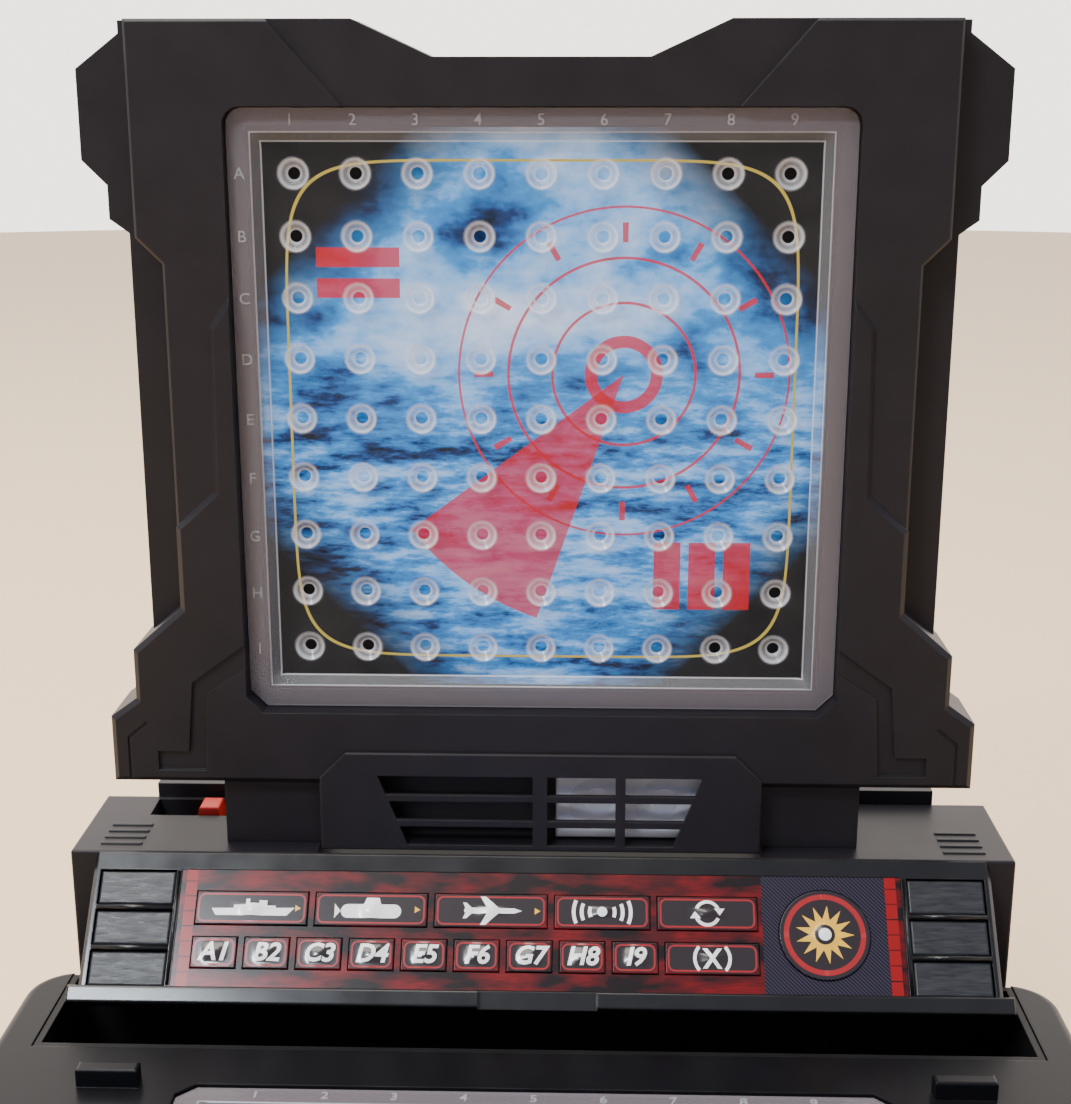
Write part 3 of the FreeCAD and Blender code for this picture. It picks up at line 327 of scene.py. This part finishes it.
def printedLabel(name):
    finish, tree, shader = newFinish(name, labelLook["roughness"])
    local = localSpot(tree, panelTop, (panelTurn, 0, 0), mm)
    axes = axesOf(tree, local)
    patch = noise(tree, scaled(tree, local, labelLook["patch"]), detail=2)
    streak = noise(tree, scaled(tree, local, labelLook["streak"]), detail=4)
    red = calc(tree, "MULTIPLY", spread(tree, patch, *labelLook["patchSpan"]),
               spread(tree, streak, *labelLook["streakSpan"], *labelLook["streakShare"]))
    color = mixColor(tree, red, labelLook["black"], labelLook["red"])
    inWeave = calc(tree, "COMPARE", axes[0], labelHalf - labelLook["weaveIn"], labelLook["weaveHalf"])
    slant = calc(tree, "MULTIPLY", calc(tree, "ADD", axes[0], axes[1]), labelLook["threadTurn"])
    thread = spread(tree, calc(tree, "SINE", slant), *labelLook["threadSpan"])
    color = mixColor(tree, inWeave, color, mixColor(tree, thread, labelLook["weave"], labelLook["thread"]))
    aside = calc(tree, "ABSOLUTE", axes[0])
    atEnd = calc(tree, "COMPARE", aside, labelHalf - labelLook["barIn"], labelLook["barHalf"])
    row = calc(tree, "FRACT", calc(tree, "DIVIDE", axes[1], labelLook["barPitch"]))
    bar = calc(tree, "MULTIPLY", atEnd, calc(tree, "GREATER_THAN", row, labelLook["barCut"]))
    feed(tree, shader, Base_Color=mixColor(tree, bar, color, labelLook["bar"]),
         Specular_IOR_Level=labelLook["shine"])
    return finish


def paint(finish, *names):
    for name in names:
        nodes[name].data.materials.clear()
        nodes[name].data.materials.append(finish)


keyNames = [name for name in nodes if name.startswith("key_")]
satin = moulded("satinBlack", (0.0118, 0.0105, 0.013), 0.42)
gloss = moulded("glossBlack", (0.006, 0.006, 0.0065), 0.2, grain=0.03, coat=0.12, sheen=0.04, shine=0.3)
deckBlack = moulded("deckBlack", (0.0045, 0.0045, 0.0056), 0.32, grain=0.08, sheen=0.015, shine=0.12)
paint(satin, "console_housing", "console_rear_cover", "battery_door", "battery_bay",
      "left_hinge_post", "right_hinge_post", "screen_front_frame", "screen_back_shell", "speaker_grille")
paint(moulded("troughBlack", (0.006, 0.006, 0.0065), 0.5), "peg_trough")
paint(deckBlack, "base_deck", "base_tray")
paint(gloss, "control_bezel")
paint(streaked("padGloss"), "left_grip_pads", "right_grip_pads")
paint(printedLabel("labelPrint"), "keypad_label", *keyNames)
paint(moulded("redPlastic", (0.42, 0.02, 0.012), 0.35, grain=0.05), "power_lever")
paint(moulded("speakerGrey", (0.36, 0.37, 0.4), 0.55), "speaker")
paint(moulded("rubber", (0.02, 0.02, 0.02), 0.8, grain=0.3), "rubber_feet")
paint(moulded("switchGrey", (0.12, 0.12, 0.13), 0.5), "power_switch_body")
paint(moulded("boardGreen", (0.012, 0.09, 0.03), 0.4, coat=0.3), "main_board", "keypad_board")
paint(moulded("cellJacket", (0.05, 0.16, 0.08), 0.3, coat=0.3), "batteries")
paint(plain("steel", (0.55, 0.55, 0.56), 0.3, Metallic=1.0), "base_screws", "battery_contacts",
      "main_board_screws", "keypad_domes", "keypad_screws", "left_hinge_pin", "right_hinge_pin",
      "screen_screws")

# a dial is its place on the card and the bearing of its beam
targetLow, targetHigh = [Vector(corner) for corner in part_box("target_grid")]
oceanLow, oceanHigh = [Vector(corner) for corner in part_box("ocean_grid")]
target = {"place": Vector((0, targetLow.y, (targetLow.z + targetHigh.z) / 2)), "turn": (math.pi / 2, 0, 0),
          "half": targetHigh.x / mm, "pitch": 17.5, "body": "screen",
          "cardHalf": 80, "seed": 3.1, "dial": (0.3, 0.16, -2.2)}
ocean = {"place": Vector((0, (oceanLow.y + oceanHigh.y) / 2, oceanHigh.z)), "turn": (0, 0, 0),
         "half": oceanHigh.x / mm, "pitch": 19.0, "body": "base",
         "cardHalf": 90, "seed": 8.4, "dial": (-0.24, 0.2, 0.6)}
for gridName, grid in (("target", target), ("ocean", ocean)):
    paint(clearTray(gridName + "Clear", grid), gridName + "_grid")
    grid["sea"] = seaCard(gridName + "Sea", grid)
    paint(grid["sea"], gridName + "_card")
print("finishes set")


def finishPiece(name, bm, finishes, body, smooth=False):
    mesh = bpy.data.meshes.new(name)
    bm.to_mesh(mesh)
    bm.free()
    for finish in finishes:
        mesh.materials.append(finish)
    if smooth:
        mesh.polygons.foreach_set("use_smooth", [True] * len(mesh.polygons))
    piece = bpy.data.objects.new(name, mesh)
    bpy.context.collection.objects.link(piece)
    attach(piece, body)


def addTo(bm, part, slot=0):
    for face in part.faces:
        face.material_index = slot
    mesh = bpy.data.meshes.new("part")
    part.to_mesh(mesh)
    part.free()
    bm.from_mesh(mesh)
    bpy.data.meshes.remove(mesh)


# flat shapes and letters
letterSteps = 3


def letters(text, size, shear=0.0, weight=0.0, thick=0.0):
    curve = bpy.data.curves.new("letters", "FONT")
    curve.body = text
    curve.size = size
    curve.shear = shear
    curve.offset = weight
    curve.extrude = thick
    curve.align_x = "CENTER"
    curve.align_y = "CENTER"
    curve.resolution_u = letterSteps
    holder = bpy.data.objects.new("letters", curve)
    bpy.context.collection.objects.link(holder)
    mesh = bpy.data.meshes.new_from_object(holder.evaluated_get(bpy.context.evaluated_depsgraph_get()))
    bm = bmesh.new()
    bm.from_mesh(mesh)
    bpy.data.objects.remove(holder)
    bpy.data.curves.remove(curve)
    bpy.data.meshes.remove(mesh)
    return bm


def shapeOf(outlines):
    bm = bmesh.new()
    for outline in outlines:
        bm.faces.new([bm.verts.new((x, y, 0)) for x, y in outline])
    bmesh.ops.triangulate(bm, faces=bm.faces[:])
    bmesh.ops.recalc_face_normals(bm, faces=bm.faces[:])
    for face in bm.faces:
        if face.normal.z < 0:
            face.normal_flip()
    return bm


# quads between two like outlines
def bandOf(outer, inner):
    bm = bmesh.new()
    outerVerts = [bm.verts.new((x, y, 0)) for x, y in outer]
    innerVerts = [bm.verts.new((x, y, 0)) for x, y in inner]
    for i in range(len(outer)):
        j = (i + 1) % len(outer)
        bm.faces.new((outerVerts[i], outerVerts[j], innerVerts[j], innerVerts[i]))
    return bm


def arc(radius, start, end, steps=20, centre=(0, 0)):
    angles = [math.radians(start + (end - start) * i / steps) for i in range(steps + 1)]
    return [(centre[0] + radius * math.cos(angle), centre[1] + radius * math.sin(angle)) for angle in angles]


def arcBand(inner, outer, start, end):
    return arc(outer, start, end) + arc(inner, end, start)


def circle(radius, steps=72):
    return arc(radius, 0, 360, steps)[:-1]


def dot(radius):
    return arc(radius, 0, 345, 24)


def roundedBox(halfWide, halfHigh, radius):
    points = []
    for signX, signY, start in ((1, 1, 0), (-1, 1, 90), (-1, -1, 180), (1, -1, 270)):
        centre = (signX * (halfWide - radius), signY * (halfHigh - radius))
        points += arc(radius, start, start + 90, 6, centre)
    return points


# raised numbers along the far flange and letters down the left one
markLook = {"size": 4.6, "inset": 3.3, "lift": 0.1, "thick": 0.12, "weight": 0.03}
markFinish = plain("clearMark", (0.6, 0.6, 0.6), 0.2, Alpha=0.28)


def flangeMarks(name, grid):
    bm = bmesh.new()
    turn = Matrix.Rotation(grid["turn"][0], 4, "X")
    flange = Matrix.Translation(grid["place"]) @ turn @ Matrix.Scale(mm, 4)
    edge = grid["half"] - markLook["inset"]
    for i, letter in enumerate(gridLetters):
        step = (i - (gridHoles - 1) / 2) * grid["pitch"]
        for text, x, y in ((str(i + 1), step, edge), (letter, -edge, -step)):
            part = letters(text, markLook["size"], weight=markLook["weight"], thick=markLook["thick"])
            part.transform(flange @ Matrix.Translation((x, y, markLook["lift"])))
            addTo(bm, part)
    finishPiece(name, bm, [markFinish], grid["body"])


# printed sheet on the front of each card
sheetLook = {"lift": 0.06, "margin": 1.0}


def printedSheet(name, grid, card):
    low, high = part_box(card)
    half = (high.x - low.x) / 2 - sheetLook["margin"] * mm
    depth = min(high - low) / 2 + sheetLook["lift"] * mm
    turn = Matrix.Rotation(grid["turn"][0], 4, "X")
    matrix = Matrix.Translation((low + high) / 2) @ turn @ Matrix.Translation((0, 0, depth))
    bm = bmesh.new()
    bmesh.ops.create_grid(bm, x_segments=1, y_segments=1, size=half, matrix=matrix)
    finishPiece(name, bm, [grid["sea"]], grid["body"])


printedSheet("targetSheet", target, "target_card")
printedSheet("oceanSheet", ocean, "ocean_card")
flangeMarks("targetMarks", target)
flangeMarks("oceanMarks", ocean)
print("grid marks set")


# printed domed films on the keys
filmLook = {"inset": 0.35, "corner": 2.4, "line": 0.55, "gap": 0.35, "dome": 0.65, "domeReach": 4.3,
            "cuts": 5, "lift": 0.04, "sheetLevel": 1, "lineLevel": 2, "printLevel": 3, "capDepth": 0.6,
            "coat": 0.3, "coatRoughness": 0.05}
filmColors = {"filmDark": ((0.012, 0.006, 0.007), 0.2), "filmRed": ((0.3, 0.006, 0.008), 0.22),
              "filmWhite": ((0.86, 0.86, 0.84), 0.28), "filmYellow": ((0.75, 0.42, 0.03), 0.28)}
filmFinishes = [plain(filmName, *look, Coat_Weight=filmLook["coat"], Coat_Roughness=filmLook["coatRoughness"])
                for filmName, look in filmColors.items()]
darkSlot, redSlot, whiteSlot, yellowSlot = range(len(filmColors))


def domeLift(x, y):
    share = min(1.0, math.hypot(x, y) / filmLook["domeReach"])
    return filmLook["dome"] * (1 - share * share) ** 2


def liftTo(bm, level):
    for vert in bm.verts:
        vert.co.z = domeLift(vert.co.x, vert.co.y) + level * filmLook["lift"]
    return bm


# cut a flat print into strips so that it follows the dome
def drape(bm, level):
    cuts = filmLook["cuts"]
    for normal in ((1, 0, 0), (0, 1, 0)):
        for i in range(-cuts, cuts + 1):
            spot = Vector(normal) * (i * filmLook["domeReach"] / cuts)
            geometry = bm.verts[:] + bm.edges[:] + bm.faces[:]
            bmesh.ops.bisect_plane(bm, geom=geometry, plane_co=spot, plane_no=normal)
    return liftTo(bm, level)


def filmSheet(outline, rings=9):
    bm = bmesh.new()
    middle = bm.verts.new((0, 0, 0))
    loops = [[bm.verts.new((x * k / rings, y * k / rings, 0)) for x, y in outline]
             for k in range(1, rings + 1)]
    for i in range(len(outline)):
        j = (i + 1) % len(outline)
        bm.faces.new((middle, loops[0][i], loops[0][j]))
        for k in range(rings - 1):
            bm.faces.new((loops[k][i], loops[k + 1][i], loops[k + 1][j], loops[k][j]))
    return liftTo(bm, filmLook["sheetLevel"])


# each picture is a list of outlines in millimetres from the middle of its key
capsule = arc(2.1, -90, 90, 12, (7, -0.6)) + arc(2.1, 90, 270, 12, (-7, -0.6))
sonarLook = {"dot": 1.5, "radii": (3.2, 5.6, 8.0), "band": 1.1, "half": 24}
sonarArcs = [arcBand(radius, radius + sonarLook["band"], side - sonarLook["half"], side + sonarLook["half"])
             for side in (0, 180) for radius in sonarLook["radii"]]
pictures = {
    "key_ship": [
        [(-12, -0.4), (-10.8, -2.3), (10.6, -2.3), (13, 0.1), (-12, -0.2)],
        [(-5.5, -0.3), (-5.5, 0.9), (-1.8, 0.9), (-1.8, 2.7), (-0.6, 2.7), (-0.6, 1.4),
         (2.2, 1.4), (2.2, 2.3), (4.6, 2.3), (4.6, 0.7), (7.2, 0.7), (7.2, -0.3)]],
    "key_submarine": [
        capsule,
        [(-2.2, 1.4), (-1.4, 3.5), (2.4, 3.5), (3, 1.4)],
        [(-9.2, -0.6), (-11, 1.6), (-11, -2.8)]],
    "key_plane": [
        [(-8, 0.5), (-6, 0.9), (7, 0.8), (9.4, 0), (7, -0.8), (-6, -0.9), (-8, -0.5)],
        [(2.6, 0.6), (-1.6, 4.3), (-3.2, 4.3), (-1, 0.6)],
        [(2.6, -0.6), (-1, -0.6), (-3.2, -4.3), (-1.6, -4.3)],
        [(-5.4, 0.6), (-7.4, 2.4), (-8.4, 2.4), (-7.6, 0.6)],
        [(-5.4, -0.6), (-7.6, -0.6), (-8.4, -2.4), (-7.4, -2.4)]],
    "key_sonar": [dot(sonarLook["dot"])] + sonarArcs,
    "key_repeat": [
        arcBand(3.0, 4.0, 25, 155),
        arcBand(3.0, 4.0, 205, 335),
        [(2.0, 1.5), (5.2, 1.5), (3.7, -0.6)],
        [(-2.0, -1.5), (-5.2, -1.5), (-3.7, 0.6)]],
    "key_cancel": [
        [(-2.9, 3), (-1.5, 3), (2.9, -3), (1.5, -3)],
        [(1.5, 3), (2.9, 3), (-1.5, -3), (-2.9, -3)],
        arcBand(4.7, 5.7, -42, 42),
        arcBand(4.7, 5.7, 138, 222)],
}
legendLook = {"size": 7.6, "shear": 0.22, "weight": 0.22}
legends = {name: name[4:].upper() for name in keyNames if len(name) == len("key_a1")}
pointerLook = {"outline": [(0, 1), (1.7, 0), (0, -1)], "inset": 3.4,
               "keys": ("key_ship", "key_submarine", "key_plane")}


# a key's cap as seen on the panel: centre, half sizes and the height of its face
def capOf(name):
    spots = [nodes[name].matrix_world @ vert.co - panelTop for vert in nodes[name].data.vertices]
    spots = [(spot.x / mm, -spot.dot(panelUp) / mm, spot.dot(panelOut) / mm) for spot in spots]
    face = max(spot[2] for spot in spots)
    caps = [spot for spot in spots if spot[2] > face - filmLook["capDepth"]]
    lows = [min(spot[i] for spot in caps) for i in (0, 1)]
    highs = [max(spot[i] for spot in caps) for i in (0, 1)]
    centre = [(low + high) / 2 for low, high in zip(lows, highs)]
    half = [(high - low) / 2 for low, high in zip(lows, highs)]
    return centre, half, face


def dressKey(name):
    centre, half, face = capOf(name)
    wide, high = [size - filmLook["inset"] for size in half]
    gaps = (0, filmLook["gap"], filmLook["gap"] + filmLook["line"])
    outline, lineOut, lineIn = [roundedBox(wide - gap, high - gap, filmLook["corner"] - gap)
                                for gap in gaps]
    bm = bmesh.new()
    addTo(bm, filmSheet(outline), darkSlot)
    addTo(bm, drape(bandOf(lineOut, lineIn), filmLook["lineLevel"]), redSlot)
    if name in legends:
        picture = letters(legends[name], **legendLook)
    else:
        picture = shapeOf(pictures[name])
    addTo(bm, drape(picture, filmLook["printLevel"]), whiteSlot)
    if name in pointerLook["keys"]:
        pointer = shapeOf([[(x + wide - pointerLook["inset"], y) for x, y in pointerLook["outline"]]])
        addTo(bm, drape(pointer, filmLook["printLevel"]), yellowSlot)
    bm.transform(panelMatrix(*centre, face))
    finishPiece(name + "Film", bm, filmFinishes, name, True)


# the round key: a red ring and a yellow burst with a white dot
fireLook = {"ring": (12.2, 10.6), "spikes": 13, "burst": (8.8, 4.6), "core": 3.0, "dot": 1.9}


def dressFire():
    centre, half, face = capOf("key_fire")
    outer, inner = [circle(radius) for radius in fireLook["ring"]]
    points = 2 * fireLook["spikes"]
    core = circle(fireLook["core"], points)
    burst = [circle(fireLook["burst"][i % 2], points)[i] for i in range(points)]
    bm = bmesh.new()
    addTo(bm, filmSheet(circle(half[0] - filmLook["inset"])), darkSlot)
    addTo(bm, drape(bandOf(outer, inner), filmLook["lineLevel"]), redSlot)
    addTo(bm, drape(bandOf(burst, core), filmLook["printLevel"]), yellowSlot)
    addTo(bm, drape(shapeOf([dot(fireLook["dot"])]), filmLook["printLevel"]), whiteSlot)
    bm.transform(panelMatrix(*centre, face))
    finishPiece("key_fireFilm", bm, filmFinishes, "key_fire", True)


for keyName in keyNames:
    if keyName == "key_fire":
        dressFire()
    else:
        dressKey(keyName)
print("keys dressed:", len(keyNames))


# round bars between the grip pads and a bead beside the label
barLook = {"radius": 0.8, "rows": (17.25, 29.55), "sides": 20, "bead": 0.55, "beadOut": 1.0,
           "beadRun": (6.0, 40.6)}


def roundBar(bm, ends, radius):
    start, end = [matrix @ Vector() for matrix in ends]
    along = end - start
    turn = along.to_track_quat("Z", "Y").to_matrix().to_4x4()
    bmesh.ops.create_cone(bm, cap_ends=True, segments=barLook["sides"],
                          radius1=radius * mm, radius2=radius * mm, depth=along.length,
                          matrix=Matrix.Translation((start + end) / 2) @ turn)


def trimBezel():
    bm = bmesh.new()
    for side, name in ((-1, "left_grip_pads"), (1, "right_grip_pads")):
        low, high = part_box(name)
        for down in barLook["rows"]:
            roundBar(bm, [panelMatrix(x / mm, down) for x in (low[0], high[0])], barLook["radius"])
        beadX = side * (labelHalf + barLook["beadOut"])
        roundBar(bm, [panelMatrix(beadX, down) for down in barLook["beadRun"]], barLook["bead"])
    finishPiece("bezelBars", bm, [gloss], "base", True)


# short ribs on the shoulders
ribLook = {"x": 130, "count": 4, "first": 121, "step": 4.6, "size": (13, 1.7, 0.9), "bevel": 0.35,
           "bevelSteps": 2}


def shoulderRibs():
    bm = bmesh.new()
    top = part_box("console_housing")[1][2]
    size = Matrix.Diagonal((*[part * mm for part in ribLook["size"]], 1))
    for side in (-1, 1):
        for i in range(ribLook["count"]):
            spot = Vector((side * ribLook["x"] * mm, (ribLook["first"] + i * ribLook["step"]) * mm, top))
            made = bmesh.ops.create_cube(bm, size=1, matrix=Matrix.Translation(spot) @ size)
            edges = list({edge for vert in made["verts"] for edge in vert.link_edges})
            bmesh.ops.bevel(bm, geom=edges, offset=ribLook["bevel"] * mm, offset_type="OFFSET",
                            segments=ribLook["bevelSteps"], profile=0.5, affect="EDGES", material=-1)
    finishPiece("shoulderRibs", bm, [satin], "base")


trimBezel()
shoulderRibs()
print("trim set")

cameraSpot = {"place": (0.011586, -0.35964, 0.30961), "pitch": 14.968, "yaw": 1.557, "lens": 55.17,
              "sensor": 36}


def makeCamera():
    data = bpy.data.cameras.new("camera")
    data.lens = cameraSpot["lens"]
    data.sensor_width = cameraSpot["sensor"]
    camera = bpy.data.objects.new("camera", data)
    camera.location = cameraSpot["place"]
    camera.rotation_euler = (math.radians(90 - cameraSpot["pitch"]), 0, math.radians(cameraSpot["yaw"]))
    bpy.context.collection.objects.link(camera)
    bpy.context.scene.camera = camera


# a broad warm lamp above and a small cool window in front
lampLook = {"ceiling": {"place": (-0.5, 0.1, 1.7), "aim": (0, 0.05, 0.1), "size": (1.6, 1.4),
                        "power": 60, "color": (1, 0.94, 0.85)},
            "window": {"place": (-0.57, -0.8, 1.2), "aim": (-0.1, 0.08, 0.06), "size": (0.34, 0.16),
                       "power": 14, "color": (0.86, 0.93, 1)}}


def makeLamp(name, place, aim, size, power, color):
    data = bpy.data.lights.new(name, "AREA")
    data.shape = "RECTANGLE"
    data.size, data.size_y = size
    data.energy = power
    data.color = color
    lamp = bpy.data.objects.new(name, data)
    lamp.location = place
    lamp.rotation_euler = (Vector(aim) - Vector(place)).to_track_quat("-Z", "Y").to_euler()
    bpy.context.collection.objects.link(lamp)


# a room that is dim and cool in front, bright and warm behind
studioLook = {"front": 0.8, "back": 3.2, "backSpan": (-0.2, 0.7), "cool": (0.82, 0.84, 1, 1),
              "warm": (1, 0.92, 0.85, 1), "floor": (0.72, 0.53, 0.32), "floorRoughness": 0.55,
              "floorRadius": 4, "floorSides": 96}


def makeWorld():
    world = bpy.data.worlds.new("studio")
    world.use_nodes = True
    tree = world.node_tree
    heading = axesOf(tree, addNode(tree, "ShaderNodeTexCoord").outputs["Generated"])
    toBack = spread(tree, heading[1], *studioLook["backSpan"])
    feed(tree, tree.nodes["Background"], Color=mixColor(tree, toBack, studioLook["cool"], studioLook["warm"]),
         Strength=spread(tree, toBack, 0, 1, studioLook["front"], studioLook["back"]))
    bpy.context.scene.world = world


def makeFloor():
    bm = bmesh.new()
    bmesh.ops.create_circle(bm, cap_ends=True, segments=studioLook["floorSides"],
                            radius=studioLook["floorRadius"])
    mesh = bpy.data.meshes.new("floor")
    bm.to_mesh(mesh)
    bm.free()
    mesh.materials.append(plain("paleFloor", studioLook["floor"], studioLook["floorRoughness"]))
    floor = bpy.data.objects.new("floor", mesh)
    bpy.context.collection.objects.link(floor)


makeCamera()
makeWorld()
for lampName, lamp in lampLook.items():
    makeLamp(lampName, **lamp)
makeFloor()
print("studio set")
